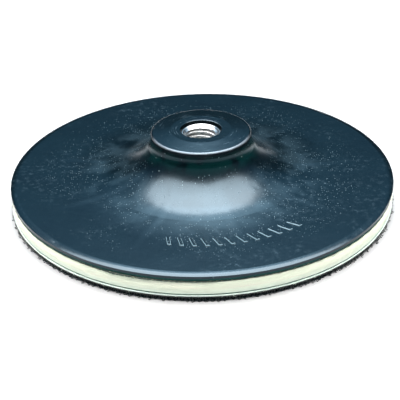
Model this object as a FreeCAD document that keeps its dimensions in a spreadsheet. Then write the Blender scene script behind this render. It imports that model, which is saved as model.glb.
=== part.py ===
import FreeCAD, Part
import os
import Sketcher

# A seven-inch backing pad for a rotary sander: a moulded body with a threaded steel insert, a glass-epoxy
# support board, a foam cushion and a hook face. The origin is the centre of the hook tips, and +Z is the
# spindle's axis, up out of the hub. Each body is drawn on its own underside and stands at its own height.

V = FreeCAD.Vector
ORIGIN_POINT = (-1, 1)
LEVEL_AXIS = -1
UPRIGHT_AXIS = -2
LEFT, RIGHT = 1, -1
CLOSE_ENOUGH = 0.01

# alias, then a size in millimetres, an angle in degrees or a count
DRIVING_DIMENSIONS = [
    ("pad_diameter", 178.0),
    ("hook_height", 1.8),
    ("ground_thickness", 0.6),
    ("scrim_thickness", 0.6),
    ("face_film_thickness", 0.2),
    ("foam_thickness", 6.2),
    ("board_film_thickness", 0.6),
    ("board_thickness", 1.1),
    ("face_inset", 0.1),
    ("foam_inset", 0.3),
    ("board_inset", 0.4),
    ("film_inset", 0.7),
    ("rim_edge_height", 1.2),
    ("rim_round_width", 2.8),
    ("rim_round_drop", 0.7),
    ("flare_radius", 50.0),
    ("flare_rise", 16.3),
    ("blend_radius", 64.0),
    ("blend_angle", 5.5),
    ("neck_foot_radius", 23.4),
    ("neck_foot_round", 8.0),
    ("neck_height", 5.0),
    ("hub_radius", 23.1),
    ("hub_edge_round", 1.1),
    ("hub_crown", 0.9),
    ("hub_seat_radius", 14.0),
    ("hub_hole_radius", 8.7),
    ("hub_hole_draft", 29.0),
    ("hub_hole_round", 0.4),
    ("skin_thickness", 3.0),
    ("hollow_radius", 26.0),
    ("rib_count", 9),
    ("rib_angle", 4.5),
    ("first_pocket_angle", -14.0),
    ("insert_recess", 1.6),
    ("collar_radius", 11.6),
    ("collar_height", 1.5),
    ("hex_across_flats", 24.0),
    ("spigot_radius", 10.5),
    ("tail_chamfer", 0.7),
    ("mouth_radius", 8.4),
    ("mouth_depth", 1.25),
    ("thread_major_radius", 7.9375),
    ("thread_minor_radius", 6.93),
    ("thread_pitch", 2.309),
    ("thread_lead_in", 1.25),
    ("flange_radius", 24.0),
    ("flange_thickness", 2.5),
    ("rivet_count", 6),
    ("rivet_circle_radius", 18.5),
    ("rivet_radius", 2.0),
    ("rivet_head_radius", 3.6),
    ("rivet_head_height", 1.2),
    ("rivet_head_round", 0.9),
    ("rivet_tail_radius", 3.0),
    ("rivet_tail_height", 0.6),
    ("washer_radius", 4.0),
    ("washer_thickness", 0.8),
    ("washer_clearance", 0.3),
    ("dash_count", 12),
    ("dash_first_angle", -103.5),
    ("dash_span_angle", 52.0),
    ("dash_circle_radius", 63.5),
    ("dash_length", 6.8),
    ("dash_width", 2.6),
    ("dash_slant", 2.4),
    ("dash_height", 0.35),
    ("dash_root", 0.3),
    ("dash_side_angle", 45.0),
]

# the flat layers from the hook tips up, each by the alias of its thickness
LAYERS = [
    "hook_height",
    "ground_thickness",
    "scrim_thickness",
    "face_film_thickness",
    "foam_thickness",
    "board_film_thickness",
    "board_thickness",
]


# Expressions. Each of these gives text that FreeCAD works out from the sheet.

def dim(alias):
    """One cell of the sheet."""
    return "Dims." + alias


def add(*terms):
    """The sum of the terms."""
    return " + ".join("(" + term + ")" for term in terms)


def less(first, second):
    """The first term less the second."""
    return "(" + first + ") - (" + second + ")"


def half(term):
    """Half the term."""
    return "(" + term + ") / 2"


def minus(term):
    """The term with its sign changed."""
    return "-(" + term + ")"


def level_under(layer):
    """The height of the underside of a layer above the hook tips."""
    below = LAYERS[:LAYERS.index(layer)]
    return add(*[dim(alias) for alias in below]) if below else "0"


def tangent_radius(run, rise):
    """The radius of an arc that leaves a level line and is off it by rise after run."""
    return "((" + run + ")^2 + (" + rise + ")^2) / (2 * (" + rise + "))"


def other_leg(hypotenuse, leg):
    """The third side of a right-angled triangle."""
    return "sqrt((" + hypotenuse + ")^2 - (" + leg + ")^2)"


BOARD_TOP = add(*[dim(alias) for alias in LAYERS])
PAD_RADIUS = half(dim("pad_diameter"))

# heights inside the moulded body and the insert, which both stand on the board
DISC_TOP = add(dim("rim_edge_height"), dim("rim_round_drop"))
NECK_FOOT = add(DISC_TOP, dim("flare_rise"))
HUB_EDGE = add(NECK_FOOT, dim("neck_height"))
HUB_TOP = add(HUB_EDGE, dim("hub_crown"))
HUB_HOLE_REACH = add(dim("hub_hole_radius"), dim("insert_recess") + " * tan(" + dim("hub_hole_draft") + ")")
INSERT_TOP = less(HUB_TOP, dim("insert_recess"))
HEX_TOP = less(INSERT_TOP, dim("collar_height"))
FLANGE_TOP = dim("flange_thickness")

# the flare is an arc that a much wider arc blends into the disc: the blend lifts the flare's arc a little,
# and the two meet where both slope at the blend's angle
BLEND_LIFT = "(" + less(dim("blend_radius"), dim("flare_radius")) + ") * tan(" + dim("blend_angle") + " / 2)"
FLARE_ARC = tangent_radius(
    less(dim("flare_radius"), dim("neck_foot_radius")),
    less(dim("flare_rise"), BLEND_LIFT),
)
FLARE_CENTRE_HEIGHT = add(DISC_TOP, BLEND_LIFT, FLARE_ARC)
MEETING_RADIUS = less(dim("flare_radius"), "(" + FLARE_ARC + ") * sin(" + dim("blend_angle") + ")")
MEETING_HEIGHT = less(FLARE_CENTRE_HEIGHT, "(" + FLARE_ARC + ") * cos(" + dim("blend_angle") + ")")
BLEND_ARC = "(" + less(dim("blend_radius"), MEETING_RADIUS) + ") / sin(" + dim("blend_angle") + ")"

# the hollow under the flare follows its arc at the skin's thickness
HOLLOW_ARC = add(FLARE_ARC, dim("skin_thickness"))
HOLLOW_FOOT_RADIUS = less(dim("flare_radius"), other_leg(HOLLOW_ARC, FLARE_CENTRE_HEIGHT))
HOLLOW_TOP = less(
    FLARE_CENTRE_HEIGHT,
    other_leg(HOLLOW_ARC, less(dim("flare_radius"), dim("hollow_radius"))),
)

# the rivets stand on their clinched tails, which hang under the washers
RIVET_GRIP = add(dim("washer_thickness"), dim("board_thickness"), FLANGE_TOP)
RIVET_DEPTH = add(dim("rivet_tail_height"), dim("washer_thickness"))
CLEARED_RADIUS = add(dim("washer_radius"), dim("washer_clearance"))


def value_of(expression):
    """The number that an expression has with the sheet as it stands."""
    result = FreeCAD.ActiveDocument.getObject("Dims").evalExpression(expression)
    return float(getattr(result, "Value", result))


# Steps that the bodies share

def make_sheet(doc):
    """The spreadsheet of driving dimensions."""
    sheet = doc.addObject("Spreadsheet::Sheet", "Dims")
    for row, (alias, value) in enumerate(DRIVING_DIMENSIONS, start=1):
        sheet.set("A" + str(row), alias.replace("_", " "))
        sheet.set("B" + str(row), str(value))
        sheet.setAlias("B" + str(row), alias)
    doc.recompute()


def make_body(doc, label, level):
    """An empty body with its own label, standing at a height that an expression gives."""
    body = doc.addObject("PartDesign::Body", label)
    body.Label = label
    body.setExpression("Placement.Base.z", level)
    return body


def origin_item(body, role):
    """One of the body's own origin planes or axes."""
    return next(item for item in body.Origin.OriginFeatures if item.Role == role)


def make_sketch(body, name, role, height="0"):
    """An empty sketch on one of the body's origin planes, moved along its normal by height."""
    sketch = body.newObject("Sketcher::SketchObject", name)
    sketch.AttachmentSupport = (origin_item(body, role), [""])
    sketch.MapMode = "FlatFace"
    if height != "0":
        sketch.setExpression("AttachmentOffset.Base.z", height)
    return sketch


def drive(sketch, constraint, expression):
    """Add one dimension to a sketch and bind it to an expression."""
    index = sketch.addConstraint(constraint)
    sketch.setExpression("Constraints[" + str(index) + "]", expression)


def hold_point(sketch, edge, end, across, up):
    """Hold a point of a sketch at two expressions, or on an axis where one of them is zero."""
    for kind, text, axis in (("DistanceX", across, UPRIGHT_AXIS), ("DistanceY", up, LEVEL_AXIS)):
        if text == "0":
            sketch.addConstraint(Sketcher.Constraint("PointOnObject", edge, end, axis))
        else:
            drive(sketch, Sketcher.Constraint(kind, *ORIGIN_POINT, edge, end, value_of(text)), text)


def short_arc(start, end, radius, side):
    """The short arc of a radius from start to end, with its centre on one side of the way between them."""
    chord = end - start
    middle = (start + end) * 0.5
    towards_centre = V(-chord.y, chord.x, 0).normalize() * side
    reach = (radius ** 2 - (chord.Length / 2) ** 2) ** 0.5
    return Part.Arc(start, middle - towards_centre * (radius - reach), end)


def draw_outline(sketch, corners, arcs=None):
    """Draw a closed outline through corners, each a pair of expressions. Where the edge that leaves a
    corner is an arc, arcs has its radius and its centre's side under that corner's number."""
    arcs = arcs or {}
    points = [V(value_of(across), value_of(up), 0) for across, up in corners]
    following = points[1:] + points[:1]
    for number, (start, end) in enumerate(zip(points, following)):
        if number in arcs:
            radius, side = arcs[number]
            sketch.addGeometry(short_arc(start, end, value_of(radius), side))
        else:
            sketch.addGeometry(Part.LineSegment(start, end))
    for number, (across, up) in enumerate(corners):
        # an arc is stored counter-clockwise, so one whose centre is on the right starts at its far end
        turned = number in arcs and arcs[number][1] == RIGHT
        next_number = (number + 1) % len(corners)
        next_turned = next_number in arcs and arcs[next_number][1] == RIGHT
        last_end, next_start = (1 if turned else 2), (2 if next_turned else 1)
        sketch.addConstraint(Sketcher.Constraint("Coincident", number, last_end, next_number, next_start))
        hold_point(sketch, number, 2 if turned else 1, across, up)
    for number, (radius, _) in arcs.items():
        drive(sketch, Sketcher.Constraint("Radius", number, value_of(radius)), radius)


def draw_circle(sketch, radius, across="0"):
    """Draw a circle centred on the level axis."""
    edge = sketch.addGeometry(Part.Circle(V(value_of(across), 0, 0), V(0, 0, 1), value_of(radius)))
    drive(sketch, Sketcher.Constraint("Radius", edge, value_of(radius)), radius)
    hold_point(sketch, edge, 3, across, "0")


def draw_hexagon(sketch, across_flats):
    """Draw a regular hexagon about the origin with two corners on the level axis."""
    side = "(" + across_flats + ") / sqrt(3)"
    flat = half(across_flats)
    draw_outline(sketch, [
        (side, "0"),
        (half(side), flat),
        (minus(half(side)), flat),
        (minus(side), "0"),
        (minus(half(side)), minus(flat)),
        (half(side), minus(flat)),
    ])


def pad(body, name, sketch, length):
    """Raise a sketch into a solid."""
    feature = body.newObject("PartDesign::Pad", name)
    feature.Profile = sketch
    feature.setExpression("Length", length)
    return feature


def pad_circle(body, name, radius, bottom, height, across="0"):
    """Raise one upright cylinder."""
    sketch = make_sketch(body, name + "Outline", "XY_Plane", bottom)
    draw_circle(sketch, radius, across)
    return pad(body, name, sketch, height)


def cut(body, kind, name, sketch, size):
    """Cut a sketch out of the solid with a Pocket, upwards, or a Groove about the body's Z axis, and check
    that material went."""
    doc = body.Document
    doc.recompute()
    before = body.Shape.Volume
    feature = body.newObject("PartDesign::" + kind, name)
    feature.Profile = sketch
    if kind == "Pocket":
        feature.Reversed = True
        feature.setExpression("Length", size)
    else:
        feature.ReferenceAxis = (sketch, ["V_Axis"])
        feature.Midplane = True
        feature.setExpression("Angle", size)
    doc.recompute()
    if feature.Shape.Volume > before - CLOSE_ENOUGH:
        raise RuntimeError(name + " cuts nothing")
    return feature


def cut_circle(body, name, radius, bottom, height, across="0"):
    """Cut one upright cylinder out of the solid."""
    sketch = make_sketch(body, name + "Outline", "XY_Plane", bottom)
    draw_circle(sketch, radius, across)
    return cut(body, "Pocket", name, sketch, height)


def repeat_round(body, name, features, count, angle="360"):
    """Repeat features round the body's Z axis, over a whole turn or over an angle from first to last."""
    pattern = body.newObject("PartDesign::PolarPattern", name)
    pattern.Originals = features
    pattern.Axis = (origin_item(body, "Z_Axis"), [""])
    pattern.setExpression("Angle", angle)
    pattern.setExpression("Occurrences", count)
    body.Tip = pattern
    return pattern


def round_edge(body, name, edge_radius, height, size):
    """Fillet the level circular edge that has a radius, at a height."""
    body.Document.recompute()
    base = body.Tip
    radius, level = value_of(edge_radius), value_of(height)
    found = [
        "Edge" + str(number)
        for number, edge in enumerate(base.Shape.Edges, start=1)
        if isinstance(edge.Curve, Part.Circle)
        and abs(edge.Curve.Radius - radius) < CLOSE_ENOUGH
        and abs(edge.Curve.Center.z - level) < CLOSE_ENOUGH
    ]
    feature = body.newObject("PartDesign::Fillet", name)
    feature.Base = (base, found)
    feature.setExpression("Radius", size)
    return feature


# The pieces, from the hook tips up

def make_layer(doc, label, thickness, inset):
    """One flat disc of the stack under the moulded body."""
    body = make_body(doc, label, level_under(thickness))
    pad_circle(body, "Disc", less(PAD_RADIUS, dim(inset)), "0", dim(thickness))
    return body


def clear_rivets(body, thickness, depth):
    """Cut the places that the rivets' tails and washers take, down from the top of a layer."""
    place = cut_circle(
        body, "RivetPlace", CLEARED_RADIUS, less(dim(thickness), depth), depth, dim("rivet_circle_radius")
    )
    repeat_round(body, "RivetPlaces", [place], dim("rivet_count"))


def make_foam(doc):
    """The foam cushion, with a place for each rivet's tail."""
    body = make_layer(doc, "foam_cushion", "foam_thickness", "foam_inset")
    clear_rivets(body, "foam_thickness", less(RIVET_DEPTH, dim("board_film_thickness")))
    return body


def make_board_adhesive(doc):
    """The adhesive film between foam and board, punched round the washers."""
    body = make_layer(doc, "board_adhesive", "board_film_thickness", "film_inset")
    clear_rivets(body, "board_film_thickness", dim("board_film_thickness"))
    return body


def make_board(doc):
    """The glass-epoxy board, closed in the middle and drilled for the rivets."""
    body = make_layer(doc, "support_board", "board_thickness", "board_inset")
    hole = cut_circle(
        body, "RivetHole", dim("rivet_radius"), "0", dim("board_thickness"), dim("rivet_circle_radius")
    )
    repeat_round(body, "RivetHoles", [hole], dim("rivet_count"))
    return body


def make_washers(doc):
    """The burr washers under the board, one to a rivet."""
    level = less(level_under("board_thickness"), dim("washer_thickness"))
    body = make_body(doc, "rivet_washers", level)
    body.AllowCompound = True
    where = dim("rivet_circle_radius")
    washer = pad_circle(body, "Washer", dim("washer_radius"), "0", dim("washer_thickness"), where)
    hole = cut_circle(body, "WasherHole", dim("rivet_radius"), "0", dim("washer_thickness"), where)
    repeat_round(body, "Washers", [washer, hole], dim("rivet_count"))
    return body


def make_rivets(doc):
    """The rivets that hold the insert's flange on the board, each with a round head and a clinched tail."""
    level = less(level_under("board_thickness"), RIVET_DEPTH)
    body = make_body(doc, "flange_rivets", level)
    body.AllowCompound = True
    where = dim("rivet_circle_radius")
    tail_top = dim("rivet_tail_height")
    grip_top = add(tail_top, RIVET_GRIP)
    head_top = add(grip_top, dim("rivet_head_height"))
    tail = pad_circle(body, "Tail", dim("rivet_tail_radius"), "0", tail_top, where)
    shank = pad_circle(body, "Shank", dim("rivet_radius"), "0", grip_top, where)
    head = pad_circle(body, "Head", dim("rivet_head_radius"), grip_top, dim("rivet_head_height"), where)
    dome = round_edge(body, "Dome", dim("rivet_head_radius"), head_top, dim("rivet_head_round"))
    repeat_round(body, "Rivets", [tail, shank, head, dome], dim("rivet_count"))
    return body


def make_flange(doc):
    """The steel disc swaged under the insert, which carries the torque into the board."""
    body = make_body(doc, "insert_flange", BOARD_TOP)
    pad_circle(body, "Disc", dim("flange_radius"), "0", FLANGE_TOP)
    cut_circle(body, "SpigotHole", dim("spigot_radius"), "0", FLANGE_TOP)
    hole = cut_circle(
        body, "RivetHole", dim("rivet_radius"), "0", FLANGE_TOP, dim("rivet_circle_radius")
    )
    repeat_round(body, "RivetHoles", [hole], dim("rivet_count"))
    return body


def make_insert(doc):
    """The steel bush: a spigot in the flange, a hexagon held by the moulding, a round collar at the top,
    and a threaded bore with a countersunk mouth."""
    body = make_body(doc, "threaded_insert", BOARD_TOP)
    pad_circle(body, "Spigot", dim("spigot_radius"), "0", FLANGE_TOP)
    hexagon = make_sketch(body, "HexOutline", "XY_Plane", FLANGE_TOP)
    draw_hexagon(hexagon, dim("hex_across_flats"))
    pad(body, "Hex", hexagon, less(HEX_TOP, FLANGE_TOP))
    pad_circle(body, "Collar", dim("collar_radius"), HEX_TOP, dim("collar_height"))

    # the bore before threading, as one turned profile from the tail chamfer up to the mouth
    tail_radius = add(dim("thread_minor_radius"), dim("tail_chamfer"))
    bore = make_sketch(body, "BoreProfile", "XZ_Plane")
    draw_outline(bore, [
        ("0", "0"),
        (tail_radius, "0"),
        (dim("thread_minor_radius"), dim("tail_chamfer")),
        (dim("thread_minor_radius"), less(INSERT_TOP, dim("mouth_depth"))),
        (dim("mouth_radius"), INSERT_TOP),
        ("0", INSERT_TOP),
    ])
    cut(body, "Groove", "Bore", bore, "360")

    cut_thread(body)
    return body


def cut_thread(body):
    """Cut the 60 degree thread groove, from its lead-in under the bush to one pitch over it. The groove's
    floor is an eighth of the pitch wide, and its open side stands a little inside the bore."""
    overshoot = half(dim("tail_chamfer"))
    inner = less(dim("thread_minor_radius"), overshoot)
    outer = dim("thread_major_radius")
    floor_half = dim("thread_pitch") + " / 16"
    open_half = add(floor_half, "(" + less(outer, inner) + ") / sqrt(3)")
    middle = minus(dim("thread_lead_in"))
    groove = make_sketch(body, "ThreadProfile", "XZ_Plane")
    draw_outline(groove, [
        (inner, less(middle, open_half)),
        (outer, less(middle, floor_half)),
        (outer, add(middle, floor_half)),
        (inner, add(middle, open_half)),
    ])
    helix = body.newObject("PartDesign::SubtractiveHelix", "Thread")
    helix.Profile = groove
    helix.ReferenceAxis = (groove, ["V_Axis"])
    helix.Mode = "pitch-height-angle"
    helix.setExpression("Pitch", dim("thread_pitch"))
    helix.setExpression("Height", add(dim("thread_lead_in"), INSERT_TOP, dim("thread_pitch")))


def make_shell(doc):
    """The moulded body: rim, disc, flare and hub, moulded round the insert and hollow under the flare."""
    body = make_body(doc, "backing_shell", BOARD_TOP)
    rim_arc = tangent_radius(dim("rim_round_width"), dim("rim_round_drop"))
    profile = make_sketch(body, "ShellProfile", "XZ_Plane")
    corners = [
        ("0", "0"),
        (PAD_RADIUS, "0"),
        (PAD_RADIUS, dim("rim_edge_height")),
        (less(PAD_RADIUS, dim("rim_round_width")), DISC_TOP),
        (dim("blend_radius"), DISC_TOP),
        (MEETING_RADIUS, MEETING_HEIGHT),
        (dim("neck_foot_radius"), NECK_FOOT),
        (dim("hub_radius"), HUB_EDGE),
        (dim("hub_seat_radius"), HUB_TOP),
        ("0", HUB_TOP),
    ]
    draw_outline(profile, corners, arcs={2: (rim_arc, LEFT), 4: (BLEND_ARC, RIGHT), 5: (FLARE_ARC, RIGHT)})
    turned = body.newObject("PartDesign::Revolution", "Shell")
    turned.Profile = profile
    turned.ReferenceAxis = (profile, ["V_Axis"])
    turned.Angle = 360

    round_edge(body, "NeckFoot", dim("neck_foot_radius"), NECK_FOOT, dim("neck_foot_round"))
    round_edge(body, "HubEdge", dim("hub_radius"), HUB_EDGE, dim("hub_edge_round"))
    cut_insert_room(body)
    round_edge(body, "HubHoleEdge", HUB_HOLE_REACH, HUB_TOP, dim("hub_hole_round"))
    cut_hollows(body)
    raise_dashes(body)
    return body


def cut_insert_room(body):
    """Take out what the flange, the rivet heads, the hexagon and the collar fill, and open the hub over
    the insert's mouth with a hole that widens upwards."""
    cut_circle(body, "FlangeRoom", dim("flange_radius"), "0", FLANGE_TOP)
    hexagon = make_sketch(body, "HexRoomOutline", "XY_Plane", FLANGE_TOP)
    draw_hexagon(hexagon, dim("hex_across_flats"))
    cut(body, "Pocket", "HexRoom", hexagon, less(HEX_TOP, FLANGE_TOP))
    cut_circle(body, "CollarRoom", dim("collar_radius"), HEX_TOP, dim("collar_height"))
    hole = cut_circle(body, "HubHole", dim("hub_hole_radius"), INSERT_TOP, dim("insert_recess"))
    hole.setExpression("TaperAngle", dim("hub_hole_draft"))
    where = dim("rivet_circle_radius")
    head = cut_circle(
        body, "HeadRoom", dim("rivet_head_radius"), FLANGE_TOP, dim("rivet_head_height"), where
    )
    head_top = add(FLANGE_TOP, dim("rivet_head_height"))
    dome = round_edge(body, "HeadRoomDome", dim("rivet_head_radius"), head_top, dim("rivet_head_round"))
    repeat_round(body, "HeadRooms", [head, dome], dim("rivet_count"))


def cut_hollows(body):
    """Hollow the flare from below, in one pocket between each rib and the next."""
    section = make_sketch(body, "HollowSection", "XZ_Plane")
    section.setExpression("AttachmentOffset.Rotation.Axis.y", "1")
    section.setExpression("AttachmentOffset.Rotation.Angle", dim("first_pocket_angle"))
    draw_outline(
        section,
        [
            (dim("hollow_radius"), "0"),
            (HOLLOW_FOOT_RADIUS, "0"),
            (dim("hollow_radius"), HOLLOW_TOP),
        ],
        arcs={1: (HOLLOW_ARC, RIGHT)},
    )
    pocket_angle = less("360 / " + dim("rib_count"), dim("rib_angle"))
    hollow = cut(body, "Groove", "Hollow", section, pocket_angle)
    repeat_round(body, "Hollows", [hollow], dim("rib_count"))


def raise_dashes(body):
    """Raise the plain slanted dashes that run round part of the disc. Their sides lean in from the root."""
    outline = make_sketch(body, "DashOutline", "XY_Plane", less(DISC_TOP, dim("dash_root")))
    outline.setExpression("AttachmentOffset.Rotation.Angle", dim("dash_first_angle"))
    near = less(dim("dash_circle_radius"), half(dim("dash_length")))
    far = add(dim("dash_circle_radius"), half(dim("dash_length")))
    side = half(dim("dash_width"))
    lean = half(dim("dash_slant"))
    draw_outline(outline, [
        (near, minus(add(lean, side))),
        (far, less(lean, side)),
        (far, add(lean, side)),
        (near, less(side, lean)),
    ])
    dash = pad(body, "Dash", outline, add(dim("dash_root"), dim("dash_height")))
    dash.setExpression("TaperAngle", minus(dim("dash_side_angle")))
    repeat_round(body, "Dashes", [dash], dim("dash_count"), dim("dash_span_angle"))


def check_and_write(doc, bodies):
    """Stop on any feature that failed or any shape that isn't sound, then write one file to a piece."""
    doc.recompute()
    for item in doc.Objects:
        if "Invalid" in item.State or "Error" in item.State:
            raise RuntimeError(item.Name + " failed: " + ", ".join(item.State))
    for body in bodies:
        if body.Shape.isNull() or not body.Shape.isValid():
            raise RuntimeError(body.Label + " has no sound shape")
    os.makedirs("parts", exist_ok=True)
    for body in bodies:
        body.Shape.exportStep("parts/" + body.Label + ".step")
        box = body.Shape.optimalBoundingBox(True, False)
        print(
            body.Label,
            "solids", len(body.Shape.Solids),
            "volume", round(body.Shape.Volume, 1),
            "z", round(box.ZMin, 3), "to", round(box.ZMax, 3),
            "width", round(box.XLength, 2),
        )


def main():
    doc = FreeCAD.newDocument("backing_pad")
    make_sheet(doc)
    bodies = [
        make_layer(doc, "hook_field", "hook_height", "face_inset"),
        make_layer(doc, "hook_ground", "ground_thickness", "face_inset"),
        make_layer(doc, "face_scrim", "scrim_thickness", "face_inset"),
        make_layer(doc, "face_adhesive", "face_film_thickness", "film_inset"),
        make_foam(doc),
        make_board_adhesive(doc),
        make_board(doc),
        make_washers(doc),
        make_rivets(doc),
        make_flange(doc),
        make_insert(doc),
        make_shell(doc),
    ]
    check_and_write(doc, bodies)


main()
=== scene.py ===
import bpy
import math
import random
from mathutils import Matrix, Vector, noise


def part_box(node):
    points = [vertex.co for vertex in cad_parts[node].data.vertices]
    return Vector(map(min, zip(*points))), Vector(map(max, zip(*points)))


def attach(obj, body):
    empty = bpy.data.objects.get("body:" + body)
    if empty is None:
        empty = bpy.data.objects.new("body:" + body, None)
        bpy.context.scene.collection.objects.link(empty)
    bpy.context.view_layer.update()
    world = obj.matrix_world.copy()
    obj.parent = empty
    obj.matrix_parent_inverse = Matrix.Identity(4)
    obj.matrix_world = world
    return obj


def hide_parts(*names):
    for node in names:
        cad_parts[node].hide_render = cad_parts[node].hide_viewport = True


# The looks of a seven-inch backing pad: what CAD made keeps its shape and gets its materials here, and the
# foam, the adhesive, the cloth and the hooks are built in mesh code in the places that the frame gives.

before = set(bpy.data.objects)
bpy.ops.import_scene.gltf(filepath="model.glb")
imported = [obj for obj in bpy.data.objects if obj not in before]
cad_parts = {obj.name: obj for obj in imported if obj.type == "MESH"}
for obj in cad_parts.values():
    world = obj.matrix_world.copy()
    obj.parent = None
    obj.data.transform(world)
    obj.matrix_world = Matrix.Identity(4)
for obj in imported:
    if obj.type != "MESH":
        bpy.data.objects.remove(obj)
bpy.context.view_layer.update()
MM = 0.001
TURN = 2 * math.pi
BODY = "root"


def top_of(node):
    """The height of the top of a CAD node."""
    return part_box(node)[1].z


def bottom_of(node):
    """The height of the underside of a CAD node."""
    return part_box(node)[0].z


def radius_of(node):
    """The radius of a round CAD node that is centred on the axis."""
    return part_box(node)[1].x


BOARD_TOP = top_of("support_board")
RIM_EDGE_THICKNESS = 1.2 * MM
DISC_RISE = 0.7 * MM
RIM_EDGE_TOP = BOARD_TOP + RIM_EDGE_THICKNESS
DISC_TOP = RIM_EDGE_TOP + DISC_RISE

# the washers lie at equal turns from the x axis, so their box gives their circle and their size
WASHER_COUNT = 6
POCKET_CLEARANCE = 0.3 * MM
WASHER_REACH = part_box("rivet_washers")[1]
WASHER_CIRCLE = (WASHER_REACH.x - WASHER_REACH.y) / (1 - math.sin(TURN / WASHER_COUNT))
POCKET_RADIUS = WASHER_REACH.x - WASHER_CIRCLE + POCKET_CLEARANCE


# Node trees

class Tree:
    """Builds the node tree of one material. Most methods add a node and give back its output, and take
    numbers or outputs as they come. Lengths in a tree are millimetres."""

    def __init__(self, name):
        self.material = bpy.data.materials.new(name)
        self.material.use_nodes = True
        self.nodes = self.material.node_tree.nodes
        self.links = self.material.node_tree.links
        self.shader = self.nodes["Principled BSDF"]
        scaled = self.nodes.new("ShaderNodeVectorMath")
        scaled.operation = "SCALE"
        scaled.inputs["Scale"].default_value = 1 / MM
        self.join(self.nodes.new("ShaderNodeTexCoord").outputs["Object"], scaled.inputs[0])
        self.place = scaled.outputs[0]
        split = self.nodes.new("ShaderNodeSeparateXYZ")
        self.join(self.place, split.inputs[0])
        self.x, self.y, self.z = split.outputs
        self.radius = self.math("SQRT", self.plus(self.times(self.x, self.x), self.times(self.y, self.y)))
        self.angle = self.math("ARCTAN2", self.y, self.x)
        facing = self.nodes.new("ShaderNodeSeparateXYZ")
        self.join(self.nodes.new("ShaderNodeNewGeometry").outputs["Normal"], facing.inputs[0])
        self.tilt = facing.outputs[2]

    def join(self, value, socket):
        """Set a socket to a number, or link an output to it."""
        if isinstance(value, bpy.types.NodeSocket):
            self.links.new(value, socket)
        else:
            socket.default_value = value

    def math(self, operation, first, second=0.0):
        """One math node. Some operations take only the first value."""
        node = self.nodes.new("ShaderNodeMath")
        node.operation = operation
        self.join(first, node.inputs[0])
        self.join(second, node.inputs[1])
        return node.outputs[0]

    def chain(self, operation, *values):
        """One operation carried through several values."""
        result = values[0]
        for value in values[1:]:
            result = self.math(operation, result, value)
        return result

    def times(self, *values):
        """The product of several values."""
        return self.chain("MULTIPLY", *values)

    def plus(self, *values):
        """The sum of several values."""
        return self.chain("ADD", *values)

    def most(self, *values):
        """The greatest of several values."""
        return self.chain("MAXIMUM", *values)

    def wrapped(self, radial, along, up):
        """A place vector that runs round the axis: distance out, distance round and height, each divided
        by the length that one step of a texture should have that way."""
        lengths = (self.radius, self.times(self.angle, self.radius), self.z)
        node = self.nodes.new("ShaderNodeCombineXYZ")
        for length, size, socket in zip(lengths, (radial, along, up), node.inputs):
            self.join(self.math("DIVIDE", length, size), socket)
        return node.outputs[0]

    def weave(self, across, along):
        """Waves from -1 to 1 that cross like woven yarns, with the length of a wave along x and along y."""
        warp = self.math("SINE", self.times(self.x, TURN / across))
        weft = self.math("SINE", self.times(self.y, TURN / along))
        return self.times(warp, weft)

    def noise(self, size, detail=2.0, rough=0.5, place=None):
        """Smooth noise from 0 to 1 with lumps of a size, or of one unit of the place vector given."""
        node = self.nodes.new("ShaderNodeTexNoise")
        self.join(self.place if place is None else place, node.inputs["Vector"])
        node.inputs["Scale"].default_value = 1 / size
        node.inputs["Detail"].default_value = detail
        node.inputs["Roughness"].default_value = rough
        return node.outputs["Fac"]

    def cells(self, size):
        """The distance from each cell's centre in cell sizes, and a random number that each cell has."""
        node = self.nodes.new("ShaderNodeTexVoronoi")
        self.join(self.place, node.inputs["Vector"])
        node.inputs["Scale"].default_value = 1 / size
        split = self.nodes.new("ShaderNodeSeparateColor")
        self.links.new(node.outputs["Color"], split.inputs[0])
        return node.outputs["Distance"], split.outputs[0]

    def step(self, value, low, high, start=0.0, end=1.0):
        """Goes smoothly from start to end while value goes from low to high."""
        node = self.nodes.new("ShaderNodeMapRange")
        node.interpolation_type = "SMOOTHSTEP"
        for name, setting in (("From Min", low), ("From Max", high), ("To Min", start), ("To Max", end)):
            node.inputs[name].default_value = setting
        self.join(value, node.inputs["Value"])
        return node.outputs[0]

    def between(self, value, rise, fall):
        """A mask that goes from 0 to 1 over the pair rise and back to 0 over the pair fall."""
        return self.times(self.step(value, *rise), self.step(value, fall[1], fall[0]))

    def specks(self, size, share, radius):
        """Scattered round specks: a mask from 0 to 1. share is how many of the cells have one."""
        distance, chance = self.cells(size)
        shown = self.math("LESS_THAN", chance, share)
        return self.times(shown, self.step(distance, radius / size, 0.6 * radius / size))

    def mix(self, factor, first, second):
        """A colour between two colours."""
        node = self.nodes.new("ShaderNodeMix")
        node.data_type = "RGBA"
        self.join(factor, node.inputs[0])
        for colour, socket in ((first, node.inputs[6]), (second, node.inputs[7])):
            self.join(colour if isinstance(colour, bpy.types.NodeSocket) else (*colour, 1), socket)
        return node.outputs[2]

    def layered(self, colour, *layers):
        """A colour with others laid over it in turn. Each layer is a mask, its strength and a colour."""
        for mask, strength, over in layers:
            colour = self.mix(self.times(mask, strength), colour, over)
        return colour

    def bump(self, height, depth, normal=None):
        """A normal that height, from 0 to 1, tilts as relief of a depth."""
        node = self.nodes.new("ShaderNodeBump")
        node.inputs["Strength"].default_value = 1.0
        node.inputs["Distance"].default_value = depth * MM
        self.join(height, node.inputs["Height"])
        if normal is not None:
            self.join(normal, node.inputs["Normal"])
        return node.outputs[0]

    def finish(self, colour, roughness, normal, **constants):
        """Give the shader its inputs. constants are plain settings by their name with _ for a space."""
        self.join(colour, self.shader.inputs["Base Color"])
        self.join(roughness, self.shader.inputs["Roughness"])
        self.join(normal, self.shader.inputs["Normal"])
        for name, value in constants.items():
            self.shader.inputs[name.replace("_", " ")].default_value = value
        return self.material


# The moulding's material. Its masks are set out by distances from the axis and heights in millimetres.
# HUB_EDGE is where the hub's top starts to round over, and HOLE_WALL is the hole over the insert.

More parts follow.
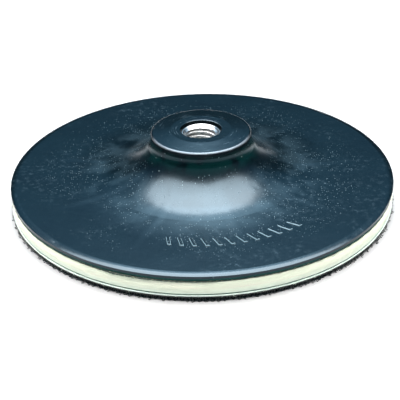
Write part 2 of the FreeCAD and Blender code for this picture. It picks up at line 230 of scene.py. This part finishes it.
RIBS = 9
FIRST_RIB = math.radians(6)
FLASH_BEARING = 2.35
HUB_EDGE = 21.5
HUB_HEIGHT = top_of("backing_shell") / MM
DISC_HEIGHT = DISC_TOP / MM
DASHES_START, DASHES_END = 57, 70
HOLE_WALL = 9.75


def rib_marks(tree):
    """The faint sink mark that runs out from the hub over each rib, and the hollow beside it. The mark's
    ridge is relief, and it is also lightened as a painted highlight streak.
    """
    turns = tree.times(tree.math("SUBTRACT", tree.angle, FIRST_RIB), RIBS / TURN)
    offset = tree.math("SUBTRACT", tree.math("FRACT", tree.plus(turns, RIBS + 0.5)), 0.5)
    arc = tree.times(offset, tree.radius, TURN / RIBS)
    wander = tree.times(tree.math("SUBTRACT", tree.noise(22.0), 0.5), 3.0)
    away = tree.math("ABSOLUTE", tree.plus(arc, wander))
    reach = tree.between(tree.radius, (26, 32), (50, 76))
    ridge_and_painted_sheen = tree.times(tree.step(away, 3.4, 0.0), reach)
    beside = tree.step(tree.math("ABSOLUTE", offset), 0.12, 0.40)
    hollow = tree.times(beside, reach, tree.step(tree.noise(16.0), 0.45, 0.60))
    return ridge_and_painted_sheen, hollow


def parting_line(tree):
    """The mould's parting line, a fine line down the front of the flare."""
    short_of_front = tree.step(tree.y, -20, -24, 9.0, 0.0)
    return tree.step(tree.plus(tree.math("ABSOLUTE", tree.x), short_of_front), 0.35, 0.12)


def dust_specks(tree):
    """Fine dust and grit, which gather round the foot of the flare, and a few large specks anywhere."""
    ring = tree.between(tree.radius, (24, 29), (62, 84))
    dusty = tree.times(tree.step(tree.noise(20.0), 0.33, 0.57), ring)
    fine = tree.times(tree.specks(1.0, 0.42, 0.25), dusty)
    grit = tree.times(tree.specks(2.6, 0.45, 0.30), tree.step(dusty, 0.0, 0.5, 0.25, 1.0))
    return tree.most(fine, grit, tree.specks(17.0, 0.35, 0.5))


def haze(tree):
    """A soft cloudy film of the finest dust on the lower flare."""
    ring = tree.between(tree.radius, (28, 34), (48, 60))
    return tree.times(ring, tree.step(tree.noise(13.0, detail=4.0), 0.40, 0.60))


def scuffs(tree):
    """Clouds of wispy scuffs outside the hub, and fine swirls on the hub's top."""
    wisps = tree.step(tree.noise(3.2, detail=6.0, rough=0.72), 0.50, 0.72)
    clouds = tree.step(tree.noise(30.0), 0.46, 0.64)
    outside = tree.times(wisps, clouds, tree.step(tree.radius, 24, 34))
    swirls = tree.step(tree.noise(1.0, detail=3.0, place=tree.wrapped(0.5, 9.0, 3.0)), 0.56, 0.66)
    patches = tree.step(tree.noise(8.0), 0.44, 0.60)
    on_hub = tree.times(swirls, tree.step(tree.radius, HUB_EDGE, HUB_EDGE - 1), patches)
    return tree.most(outside, on_hub)


def painted_dash_highlight(tree):
    """A painted highlight on the slopes of the raised dashes."""
    raised = tree.step(tree.z, DISC_HEIGHT + 0.04, DISC_HEIGHT + 0.12)
    banded = tree.between(tree.radius, (DASHES_START, DASHES_START + 1), (DASHES_END - 1, DASHES_END))
    return tree.times(raised, banded, tree.step(tree.tilt, 0.98, 0.85))


def painted_hub_edge_highlight(tree):
    """A painted highlight on the hub's rounded edge, at the front."""
    return tree.times(
        tree.step(tree.radius, HUB_EDGE - 0.1, HUB_EDGE + 0.2),
        tree.between(tree.tilt, (0.30, 0.55), (0.88, 0.97)),
        tree.step(tree.z, HUB_HEIGHT - 2.6, HUB_HEIGHT - 2.2),
        tree.step(tree.y, -3, -14),
    )


def pale_flash(tree):
    """Pale flash round the hub's edge, mostly at the back left."""
    outer = tree.step(tree.radius, HUB_EDGE + 0.1, HUB_EDGE + 0.8)
    near_top = tree.step(tree.z, HUB_HEIGHT - 3.5, HUB_HEIGHT - 1.7)
    aside = tree.math("ABSOLUTE", tree.math("SUBTRACT", tree.angle, FLASH_BEARING))
    patches = tree.most(tree.step(aside, 0.55, 0.35), tree.step(tree.noise(3.0), 0.60, 0.68))
    flecks = tree.step(tree.noise(0.55, detail=4.0, rough=0.7), 0.60, 0.66)
    return tree.times(outer, near_top, patches, flecks)


def neck_shade_and_flash(tree):
    """A painted teal shade on the neck under the hub's edge, and the bits of flash on it and on the flare
    there.
    """
    under_edge = tree.step(tree.z, HUB_HEIGHT - 2.2, HUB_HEIGHT - 3.4)
    on_neck = tree.between(tree.radius, (HUB_EDGE + 0.3, HUB_EDGE + 0.7), (23, 28))
    painted_neck_shade = tree.times(on_neck, under_edge, tree.step(tree.noise(5.0, detail=3.0), 0.30, 0.55))
    bits = tree.times(tree.step(tree.radius, 34, 28), tree.specks(1.5, 0.20, 0.27), under_edge)
    return painted_neck_shade, bits


def flare_back(tree):
    """The back of the flare."""
    return tree.times(tree.between(tree.tilt, (0.60, 0.85), (0.93, 0.995)), tree.step(tree.y, -12, 14))


def painted_hole_shade(tree):
    """Painted shade on the wall of the hole over the insert."""
    return tree.times(tree.step(tree.radius, HOLE_WALL, HOLE_WALL - 0.2), tree.step(tree.tilt, 0.75, 0.60))


def moulding_material():
    """Blue-black satin moulding with sink marks over its ribs, and the dust, scuffs and flash on it. Painted
    highlights lie along the sink marks, on the dashes' slopes and on the hub's front edge, and painted shade
    on the neck under the hub's edge. The back of the flare is a little more matt, and the wall of the hole
    is clean and painted dark as shade."""
    tree = Tree("moulding")
    broad = tree.noise(18.0, detail=3.0)
    grain = tree.noise(0.9, detail=4.0, rough=0.6)
    ridge_and_painted_sheen, hollow = rib_marks(tree)
    scuffed = scuffs(tree)
    dust = dust_specks(tree)
    flash = pale_flash(tree)
    painted_neck_shade, bits = neck_shade_and_flash(tree)
    colour = tree.layered(
        tree.mix(tree.step(broad, 0.3, 0.7), (0.0003, 0.0016, 0.0026), (0.0005, 0.0024, 0.0036)),
        (tree.step(grain, 0.45, 0.75), 0.5, (0.0014, 0.0046, 0.0064)),
        # painted highlight: each sink mark's ridge is lightened as if it caught the light
        (ridge_and_painted_sheen, 0.30, (0.008, 0.016, 0.022)),
        (scuffed, 0.65, (0.013, 0.023, 0.030)),
        (haze(tree), 1.0, (0.0062, 0.0125, 0.0168)),
        (parting_line(tree), 0.6, (0.0, 0.0005, 0.001)),
        (dust, 0.75, (0.050, 0.078, 0.089)),
        # painted highlight on the slopes of the raised dashes
        (painted_dash_highlight(tree), 0.9, (0.10, 0.155, 0.18)),
        # painted shade: a teal tone on the neck under the hub's edge
        (painted_neck_shade, 1.0, (0.0005, 0.011, 0.011)),
        (bits, 0.8, (0.14, 0.20, 0.21)),
        # painted highlight along the front of the hub's rounded edge
        (painted_hub_edge_highlight(tree), 0.75, (0.13, 0.155, 0.18)),
        (flash, 1.0, (0.28, 0.32, 0.34)),
        # painted shade: the recessed wall of the hole is darkened
        (painted_hole_shade(tree), 1.0, (0.0003, 0.0008, 0.0010)),
    )
    rough = tree.plus(0.19, tree.times(grain, 0.05), tree.times(scuffed, 0.08), tree.times(dust, 0.20))
    rough = tree.most(rough, tree.times(flare_back(tree), 0.26))
    normal = tree.bump(broad, 0.12)
    normal = tree.bump(tree.math("SUBTRACT", ridge_and_painted_sheen, hollow), 0.04, normal)
    normal = tree.bump(grain, 0.004, normal)
    normal = tree.bump(tree.plus(dust, flash), 0.03, normal)
    return tree.finish(
        colour, rough, normal,
        Specular_IOR_Level=0.5, Specular_Tint=(0.61, 0.84, 1.0, 1.0),
    )


# The other materials

def turned_steel_material():
    """Bright turned steel: fine tool marks round the axis, and painted shade in the thread's roots."""
    tree = Tree("turned_steel")
    marks = tree.noise(1.0, detail=3.0, place=tree.wrapped(0.08, 7.0, 0.08))
    stains = tree.noise(2.4, detail=3.0)
    painted_root_shade = tree.between(tree.radius, (7.3, 7.9), (8.2, 8.6))
    colour = tree.layered(
        tree.mix(marks, (0.60, 0.62, 0.63), (0.78, 0.80, 0.81)),
        (tree.step(stains, 0.5, 0.75), 0.3, (0.45, 0.44, 0.41)),
        # painted shade in the thread's roots
        (painted_root_shade, 0.55, (0.20, 0.20, 0.19)),
    )
    rough = tree.plus(0.20, tree.times(marks, 0.14))
    normal = tree.bump(marks, 0.012)
    return tree.finish(colour, rough, normal, Metallic=1.0)


def plated_steel_material():
    """Zinc-plated pressed steel with a slight crystalline mottle."""
    tree = Tree("plated_steel")
    spangle, _ = tree.cells(1.4)
    fine = tree.noise(0.4, detail=3.0)
    colour = tree.mix(spangle, (0.60, 0.61, 0.63), (0.74, 0.74, 0.72))
    rough = tree.plus(0.30, tree.times(fine, 0.15))
    return tree.finish(colour, rough, tree.bump(fine, 0.008), Metallic=1.0)


def glass_epoxy_material():
    """Green glass-epoxy board: thin plies show as lines on the sawn edge, with a fine weave on the faces."""
    tree = Tree("glass_epoxy")
    plies = tree.noise(1.0, detail=2.0, place=tree.wrapped(2.0, 12.0, 0.11))
    weave_pitch = TURN / 7
    nicks = tree.noise(0.5, detail=3.0)
    colour = tree.mix(plies, (0.003, 0.030, 0.028), (0.020, 0.110, 0.095))
    colour = tree.mix(tree.step(nicks, 0.6, 0.8), colour, (0.10, 0.24, 0.20))
    edge = tree.bump(tree.plus(plies, nicks), 0.03)
    normal = tree.bump(tree.weave(weave_pitch, weave_pitch), 0.01, edge)
    rough = tree.plus(0.45, tree.times(nicks, 0.2))
    return tree.finish(colour, rough, normal, Specular_IOR_Level=0.12)


def adhesive_material():
    """Cured contact adhesive: glossy, olive, cloudy."""
    tree = Tree("adhesive")
    cloud = tree.noise(1.2, detail=3.0)
    colour = tree.mix(cloud, (0.030, 0.055, 0.040), (0.075, 0.110, 0.075))
    rough = tree.plus(0.22, tree.times(cloud, 0.2))
    return tree.finish(colour, rough, tree.bump(cloud, 0.04))


def squeezed_adhesive_material():
    """Dark green-black adhesive with lighter skins and specks where it has run out."""
    tree = Tree("squeezed_adhesive")
    cloud = tree.noise(0.9, detail=3.0)
    skins = tree.step(tree.noise(0.7, detail=4.0), 0.55, 0.64)
    colour = tree.mix(cloud, (0.004, 0.018, 0.014), (0.015, 0.045, 0.030))
    colour = tree.layered(colour, (skins, 0.8, (0.30, 0.33, 0.20)))
    rough = tree.plus(0.3, tree.times(cloud, 0.3))
    return tree.finish(colour, rough, tree.bump(cloud, 0.08))


def foam_material():
    """Cream foam: fine open cells with painted shade in them, faint lines where the edge was skived, a
    painted pale green bounce light towards the bottom, and dark where the adhesive under it has soaked in."""
    tree = Tree("foam")
    low, high = bottom_of("foam_cushion") / MM, top_of("foam_cushion") / MM
    pores, _ = tree.cells(0.34)
    fine = tree.noise(0.22, detail=2.0)
    cloud = tree.noise(7.0, detail=3.0)
    skived = tree.noise(1.0, detail=3.0, place=tree.wrapped(3.0, 26.0, 0.22))
    lower = tree.step(tree.z, low + 0.6 * (high - low), low)
    soaked = tree.step(tree.z, low + 0.50, low + 0.35)
    colour = tree.layered(
        tree.mix(cloud, (0.78, 0.84, 0.66), (0.84, 0.90, 0.72)),
        # painted light: pale green bounce light from the floor, stronger towards the bottom
        (lower, 0.75, (0.84, 0.98, 0.84)),
        (tree.step(skived, 0.50, 0.70), 0.45, (0.78, 0.68, 0.58)),
        # painted shade in the hollows of the foam's cells
        (tree.step(pores, 0.30, 0.12), 0.30, (0.58, 0.62, 0.50)),
        (soaked, 1.0, (0.10, 0.18, 0.14)),
    )
    normal = tree.bump(pores, 0.10)
    normal = tree.bump(skived, 0.06, normal)
    normal = tree.bump(fine, 0.03, normal)
    rough = tree.plus(0.78, tree.times(fine, 0.15))
    return tree.finish(colour, rough, normal, Specular_IOR_Level=0.25)


def scrim_material():
    """Pale mint laminating cloth: a fine plain weave with stray yarns, and painted shade in the weave's
    hollows.
    """
    tree = Tree("scrim_cloth")
    over = tree.weave(0.55, 0.55)
    yarn = tree.noise(0.3, detail=3.0)
    # painted shade and highlight: the weave's hollows darker and its crossings lighter, following the bump
    colour = tree.mix(tree.step(over, -0.8, 0.8), (0.50, 0.66, 0.57), (0.76, 0.90, 0.80))
    colour = tree.layered(colour, (yarn, 0.4, (0.88, 0.94, 0.88)))
    normal = tree.bump(yarn, 0.05, tree.bump(over, 0.08))
    return tree.finish(colour, 0.75, normal, Sheen_Weight=0.2, Specular_IOR_Level=0.3)


def hook_ground_material():
    """Black woven nylon ground: ribs of yarn, with a painted highlight on the crowns."""
    tree = Tree("hook_ground_weave")
    over = tree.weave(1.0, 0.5)
    yarn = tree.noise(0.25, detail=3.0)
    # painted highlight on the yarn crowns, following the bump
    colour = tree.mix(tree.step(over, -0.6, 0.9), (0.002, 0.005, 0.004), (0.009, 0.016, 0.014))
    colour = tree.layered(colour, (tree.step(yarn, 0.58, 0.75), 0.5, (0.05, 0.06, 0.055)))
    normal = tree.bump(yarn, 0.06, tree.bump(over, 0.12))
    return tree.finish(colour, 0.6, normal, Sheen_Weight=0.15)


def hook_material():
    """Black nylon monofilament hooks, glossy, some of them dusty and a few with pale fibres on them."""
    tree = Tree("hook_nylon")
    hue = tree.noise(2.2, detail=2.0)
    dust = tree.step(tree.noise(0.5, detail=3.0), 0.60, 0.78)
    pale = tree.specks(7.0, 0.30, 0.8)
    colour = tree.layered(
        tree.mix(hue, (0.001, 0.004, 0.003), (0.004, 0.010, 0.008)),
        (dust, 0.25, (0.06, 0.10, 0.085)),
        (pale, 0.7, (0.40, 0.46, 0.42)),
    )
    rough = tree.plus(0.28, tree.times(dust, 0.4))
    return tree.finish(colour, rough, tree.bump(hue, 0.02), IOR=1.53)


def floor_material():
    """A plain floor, pale under the strong light, with a barely uneven surface."""
    tree = Tree("studio_floor")
    broad = tree.noise(400.0, detail=2.0)
    colour = tree.mix(broad, (0.290, 0.300, 0.305), (0.300, 0.310, 0.315))
    return tree.finish(colour, 0.7, tree.bump(tree.noise(6.0), 0.05))


# Mesh making

def make_piece(name, vertices, faces, material):
    """A new smooth object of the scene from vertices in metres and faces."""
    mesh = bpy.data.meshes.new(name)
    mesh.from_pydata([tuple(v) for v in vertices], [], faces)
    mesh.update()
    mesh.materials.append(material)
    mesh.polygons.foreach_set("use_smooth", [True] * len(mesh.polygons))
    piece = bpy.data.objects.new(name, mesh)
    bpy.context.scene.collection.objects.link(piece)
    return piece


def lathe(profile, segments, shift):
    """The vertices and faces of a closed turned solid. profile is a list of (radius, height) from the
    axis at the bottom, out, up and back to the axis at the top; its ends lie on the axis. shift gives
    each ring vertex's new (radius, height) from its (radius, height, angle)."""
    ring_profile = profile[1:-1]
    vertices = []
    for radius, height in ring_profile:
        for number in range(segments):
            angle = TURN * number / segments
            out, up = shift(radius, height, angle)
            vertices.append((out * math.cos(angle), out * math.sin(angle), up))
    low, high = len(vertices), len(vertices) + 1
    vertices += [(0, 0, profile[0][1]), (0, 0, profile[-1][1])]
    faces = []
    for row in range(len(ring_profile) - 1):
        for number in range(segments):
            after = (number + 1) % segments
            first, second = row * segments, (row + 1) * segments
            faces.append((first + number, first + after, second + after, second + number))
    last = (len(ring_profile) - 1) * segments
    for number in range(segments):
        after = (number + 1) % segments
        faces.append((low, after, number))
        faces.append((high, last + number, last + after))
    return vertices, faces


def put(piece, slot, *replaced):
    """Let a finished piece ride on the part and stand for CAD nodes, which it hides. slot is not used."""
    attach(piece, BODY)
    if replaced:
        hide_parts(*replaced)
    return piece


# Foam, adhesive and cloth

def ripple(angle, height, waves, size):
    """A smooth uneven offset, at most about size, with a number of waves round the pad."""
    place = Vector((waves * math.cos(angle), waves * math.sin(angle), height / (2 * MM)))
    return size * noise.noise(place)


def in_pocket(radius, angle):
    """Whether a point lies in one of the pockets for the rivets' tails and washers."""
    step = TURN / WASHER_COUNT
    off = (angle + step / 2) % step - step / 2
    across = math.hypot(radius * math.cos(off) - WASHER_CIRCLE, radius * math.sin(off))
    return across < POCKET_RADIUS


def make_foam():
    """The foam cushion. Its cut edge bulges and wavers, and its top has a pocket for each rivet's tail."""
    low, high, edge = bottom_of("foam_cushion"), top_of("foam_cushion"), radius_of("foam_cushion")
    pocket_floor = bottom_of("flange_rivets")
    corner, bulge, rows, rings, segments = 0.35 * MM, 0.30 * MM, 12, 12, 900
    profile = [(0.0, low), (0.5 * edge, low), (edge - corner, low)]
    for number in range(rows + 1):
        share = number / rows
        profile.append((edge - 0.3 * corner + bulge * math.sin(math.pi * share),
                        low + 0.3 * corner + (high - low - 0.6 * corner) * share))
    profile.append((edge - corner, high))
    inner, outer = WASHER_CIRCLE - 1.1 * POCKET_RADIUS, WASHER_CIRCLE + 1.1 * POCKET_RADIUS
    for number in range(rings + 1):
        profile.append((outer + (inner - outer) * number / rings, high))
    profile.append((0.0, high))

    def shift(radius, height, angle):
        if radius > edge - corner:
            waver = ripple(angle, height, 4, 0.10 * MM) + ripple(angle, height, 60, 0.10 * MM)
            return radius + waver, height
        if height == high and in_pocket(radius, angle):
            return radius, pocket_floor
        return radius, height

    foam = make_piece("foam_disc", *lathe(profile, segments, shift), foam_material())
    put(foam, "foam", "foam_cushion")


def make_cloth(name, node, slot, material, waver, fray, thread):
    """A round cut cloth layer whose edge wavers by about waver. fray is how many thread ends stick out of
    the edge, and thread is their radius."""
    low, high, edge = bottom_of(node), top_of(node), radius_of(node)
    middle, corner, segments = (low + high) / 2, 0.12 * MM, 1400
    profile = [
        (0.0, low),
        (0.5 * edge, low),
        (edge - corner, low),
        (edge, low + corner),
        (edge + 0.4 * corner, middle),
        (edge, high - corner),
        (edge - corner, high),
        (0.5 * edge, high),
        (0.0, high),
    ]

    def shift(radius, height, angle):
        if radius < edge - corner:
            return radius, height
        return radius + ripple(angle, 0.0, 5, waver) + ripple(angle, 0.0, 110, waver), height

    vertices, faces = lathe(profile, segments, shift)
    rng = random.Random(name)
    for _ in range(fray):
        angle = rng.uniform(0, TURN)
        heading = angle + rng.uniform(-0.9, 0.9)
        out = edge - 0.3 * MM
        start = Vector((out * math.cos(angle), out * math.sin(angle), middle))
        reach = Vector((math.cos(heading), math.sin(heading), rng.uniform(-0.35, 0.15)))
        droop = Vector((0, 0, -0.15 * MM))
        length = rng.uniform(0.5, 1.3) * MM
        line = [start + reach * length * share + droop * share ** 2 for share in (0, 0.35, 0.7, 1)]
        add_tube(vertices, faces, line, thread * rng.uniform(0.7, 1.1))
    cloth = make_piece(name, vertices, faces, material)
    put(cloth, slot, node)


def add_tube(vertices, faces, line, radius, sides=5):
    """Add a closed tube along a short line of points to lists of vertices and faces."""
    first = len(vertices)
    for number, point in enumerate(line):
        ahead = (line[min(number + 1, len(line) - 1)] - line[max(number - 1, 0)]).normalized()
        across = ahead.orthogonal().normalized()
        other = ahead.cross(across)
        for side in range(sides):
            turn = TURN * side / sides
            vertices.append(tuple(point + radius * (math.cos(turn) * across + math.sin(turn) * other)))
    for row in range(len(line) - 1):
        for side in range(sides):
            after = (side + 1) % sides
            near, far = first + row * sides, first + (row + 1) * sides
            faces.append((near + side, near + after, far + after, far + side))
    faces.append([first + side for side in reversed(range(sides))])
    faces.append([len(vertices) - sides + side for side in range(sides)])


def make_squeeze_out():
    """Adhesive that was squeezed out between board and foam: an uneven bead with a few fatter runs."""
    segments, sides, bead = 1200, 8, 0.24 * MM
    level = (bottom_of("board_adhesive") + top_of("board_adhesive")) / 2
    reach = radius_of("board_adhesive")
    # each run's bearing and half width in radians, and how much fatter than the bead it is in millimetres
    runs = [(-2.02, 0.06, 0.34), (-1.90, 0.08, 0.34), (-1.75, 0.10, 0.26), (-1.57, 0.06, 0.20),
            (0.7, 0.05, 0.25), (2.6, 0.09, 0.2)]
    vertices, faces = [], []
    for number in range(segments):
        angle = TURN * number / segments
        size = bead + ripple(angle, 0.0, 30, 0.10 * MM) + ripple(angle, 0.0, 130, 0.06 * MM)
        for place, width, extra in runs:
            off = (angle - place + math.pi) % TURN - math.pi
            lumps = 0.7 + 0.6 * noise.noise(Vector((160 * off, place, 0)))
            size += extra * MM * lumps * math.exp(-(off / width) ** 2)
        out = reach + 0.18 * MM + 0.8 * (size - bead)
        drop = 0.35 * (size - bead)
        for side in range(sides):
            turn = TURN * side / sides
            radius = out + size * math.cos(turn)
            vertices.append((radius * math.cos(angle), radius * math.sin(angle),
                             level - drop + size * math.sin(turn)))
    for number in range(segments):
        near, far = number * sides, (number + 1) % segments * sides
        for side in range(sides):
            after = (side + 1) % sides
            faces.append((near + side, far + side, far + after, near + after))
    put(make_piece("adhesive_squeeze_out", vertices, faces, squeezed_adhesive_material()), "adhesive")


# The hook face

def make_hooks():
    """The field of nylon hooks: bent stems in close rows on the woven ground, in one piece to a sector.
    The hooks near the edge splay outward."""
    rng = random.Random(7)
    pitch, sectors, sides, thick, bend = 1.3 * MM, 6, 4, 0.17 * MM, 0.42 * MM
    jitter, edge_splay, splayed_width = 0.12, 0.40, 3 * MM
    top, tip, edge = top_of("hook_field") + 0.1 * MM, bottom_of("hook_field"), radius_of("hook_field")
    line = hook_line(top, tip, bend, thick)
    parts = [([], []) for _ in range(sectors)]
    material = hook_material()
    rows = int(edge / pitch)
    for row in range(-rows, rows + 1):
        for column in range(-rows, rows + 1):
            x = (column + 0.5 * (row % 2) + rng.uniform(-jitter, jitter)) * pitch
            y = (row + rng.uniform(-jitter, jitter)) * pitch
            out = math.hypot(x, y)
            if out > edge - 0.1 * MM:
                continue
            angle = math.atan2(y, x)
            heading = math.pi * (column % 2) + rng.uniform(-0.5, 0.5)
            near_edge = max(0.0, (out - edge + splayed_width) / splayed_width)
            splay = edge_splay * near_edge + rng.uniform(-0.06, 0.06)
            vertices, faces = parts[int((angle + math.pi) / TURN * sectors) % sectors]
            add_hook(vertices, faces, (x, y), line, heading, angle, splay, thick, sides)
    for number, (vertices, faces) in enumerate(parts, start=1):
        piece = make_piece(f"hook_sector_{number}", vertices, faces, material)
        put(piece, "hook_tape", "hook_field")


def hook_line(top, tip, bend, thick):
    """The side view of a hook as (along, up) points: a straight stem and a crook of radius bend."""
    steps = 4
    line = [(0.0, top), (0.0, 0.5 * (top + tip)), (0.0, tip + bend + thick)]
    for number in range(1, steps + 1):
        turn = 0.9 * math.pi * number / steps
        line.append((bend - bend * math.cos(turn), tip + bend + thick - bend * math.sin(turn)))
    return line


def add_hook(vertices, faces, place, line, heading, outward, splay, thick, sides):
    """Add one hook that hangs from place, crooks towards heading and leans outward by splay at its tip."""
    first = len(vertices)
    cos, sin = math.cos(heading), math.sin(heading)
    top = line[0][1]
    for number, (along, up) in enumerate(line):
        before, after = line[max(number - 1, 0)], line[min(number + 1, len(line) - 1)]
        run, rise = after[0] - before[0], after[1] - before[1]
        long = math.hypot(run, rise)
        lean = splay * (top - up)
        x = place[0] + along * cos + lean * math.cos(outward)
        y = place[1] + along * sin + lean * math.sin(outward)
        size = thick * (0.55 if number == len(line) - 1 else 1.0)
        for side in range(sides):
            turn = TURN * (side + 0.5) / sides
            flat, aside = size * math.cos(turn), size * math.sin(turn)
            level = -flat * rise / long
            vertices.append((x + level * cos - aside * sin, y + level * sin + aside * cos,
                             up + flat * run / long))
    for row in range(len(line) - 1):
        near, far = first + row * sides, first + (row + 1) * sides
        for side in range(sides):
            next_side = (side + 1) % sides
            faces.append((near + side, near + next_side, far + next_side, far + side))
    faces.append([len(vertices) - sides + side for side in range(sides)])
    faces.append([first + side for side in reversed(range(sides))])


# Stage, light and camera

def make_stage():
    """A pale floor that turns up into a low wall all round."""
    middle, radius, wall, bend, segments, steps = 0.6, 3.0, 0.62, 0.3, 96, 10
    floor = bottom_of("hook_field")
    profile = [(middle, floor), (radius - bend, floor)]
    for number in range(1, steps + 1):
        turn = math.pi / 2 * number / steps
        profile.append((radius - bend + bend * math.sin(turn), floor + bend * (1 - math.cos(turn))))
    profile.append((radius, floor + wall))
    vertices, faces = [], [list(range(segments))]
    for out, up in profile:
        for number in range(segments):
            angle = TURN * number / segments
            vertices.append((out * math.cos(angle), out * math.sin(angle), up))
    for row in range(len(profile) - 1):
        near, far = row * segments, (row + 1) * segments
        for number in range(segments):
            after = (number + 1) % segments
            faces.append((near + after, near + number, far + number, far + after))
    piece = make_piece("studio_floor", vertices, faces, floor_material())


def make_light(name, width, depth, lift, away, radiance, colour, spread=180):
    """One oval soft box that faces the pad. lift is its angle above the back horizon and spread the angle
    that it lights, both in degrees. away is its distance, and radiance its brightness at any size."""
    bearing = math.radians(lift)
    data = bpy.data.lights.new(name, "AREA")
    data.shape = "ELLIPSE"
    data.size, data.size_y = width, depth
    data.energy = radiance * math.pi * (math.pi / 4 * width * depth)
    data.color = colour
    data.spread = math.radians(spread)
    light = bpy.data.objects.new(name, data)
    light.location = (0, away * math.cos(bearing), away * math.sin(bearing))
    light.rotation_euler = Vector(light.location).to_track_quat("Z", "Y").to_euler()
    bpy.context.scene.collection.objects.link(light)


def make_lights():
    """A wide warm box overhead, and a smaller cool one high at the back."""
    make_light(
        "key_softbox", width=1.18, depth=0.60, lift=90.0, away=0.55,
        radiance=8.0, colour=(1.0, 0.94, 0.91), spread=125,
    )
    make_light(
        "back_panel", width=0.54, depth=0.54, lift=58.0, away=0.90,
        radiance=3.4, colour=(0.62, 0.86, 1.0),
    )


def make_world():
    """A dim blue room, lighter high up and behind."""
    world = bpy.data.worlds.new("studio_room")
    world.use_nodes = True
    nodes, links = world.node_tree.nodes, world.node_tree.links
    place = nodes.new("ShaderNodeTexCoord")
    split = nodes.new("ShaderNodeSeparateXYZ")
    links.new(place.outputs["Generated"], split.inputs[0])
    # shades from below the horizon (under 0.5) to the ceiling (1)
    shades = [
        (0.40, (0.012, 0.03, 0.05)),
        (0.47, (0.10, 0.32, 0.52)),
        (0.56, (0.14, 0.41, 0.68)),
        (0.75, (0.56, 1.14, 1.54)),
    ]
    upward = nodes.new("ShaderNodeValToRGB")
    links.new(split.outputs[2], upward.inputs[0])
    stops = upward.color_ramp.elements
    stops[0].position, stops[1].position = shades[0][0], shades[-1][0]
    for position, _ in shades[1:-1]:
        stops.new(position)
    for stop, (_, shade) in zip(stops, shades):
        stop.color = (*shade, 1)
    backward = nodes.new("ShaderNodeMapRange")
    backward.inputs["From Min"].default_value = -0.2
    backward.inputs["From Max"].default_value = 0.5
    backward.inputs["To Min"].default_value = 0.15
    links.new(split.outputs[1], backward.inputs["Value"])
    links.new(upward.outputs[0], nodes["Background"].inputs["Color"])
    links.new(backward.outputs[0], nodes["Background"].inputs["Strength"])
    bpy.context.scene.world = world


def make_camera():
    """A long lens, a little above the pad and slightly rolled."""
    lens, distance = 108.0, 563.3 * MM
    stand, tilt, swing, roll = (math.radians(angle) for angle in (28.25, -29.55, -0.134, -1.36))
    place = Vector((0, -distance * math.cos(stand), RIM_EDGE_TOP + distance * math.sin(stand)))
    ahead = Vector((math.sin(swing) * math.cos(tilt), math.cos(swing) * math.cos(tilt), math.sin(tilt)))
    right = ahead.cross(Vector((0, 0, 1))).normalized()
    up = right.cross(ahead)
    rolled_right = right * math.cos(roll) + up * math.sin(roll)
    rolled_up = up * math.cos(roll) - right * math.sin(roll)
    data = bpy.data.cameras.new("camera")
    data.lens = lens
    camera = bpy.data.objects.new("camera", data)
    turn = Matrix((rolled_right, rolled_up, -ahead)).transposed().to_4x4()
    camera.matrix_world = Matrix.Translation(place) @ turn
    bpy.context.scene.collection.objects.link(camera)
    bpy.context.scene.camera = camera


def dress_cad_nodes():
    """Give the CAD nodes that keep their shape their materials."""
    adhesive = adhesive_material()
    plated_steel = plated_steel_material()
    materials = {
        "backing_shell": moulding_material(),
        "threaded_insert": turned_steel_material(),
        "insert_flange": plated_steel,
        "flange_rivets": plated_steel,
        "rivet_washers": plated_steel,
        "support_board": glass_epoxy_material(),
        "board_adhesive": adhesive,
        "face_adhesive": adhesive,
    }
    for node, material in materials.items():
        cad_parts[node].material_slots[0].material = material


make_camera()
make_stage()
make_world()
make_lights()
bpy.context.scene.view_settings.view_transform = "Standard"

dress_cad_nodes()
make_foam()
make_squeeze_out()
make_cloth("scrim_disc", "face_scrim", "scrim", scrim_material(), waver=0.06 * MM, fray=90, thread=0.07 * MM)
make_cloth("hook_ground_disc", "hook_ground", "hook_tape", hook_ground_material(), waver=0.08 * MM, fray=160,
           thread=0.09 * MM)
make_hooks()
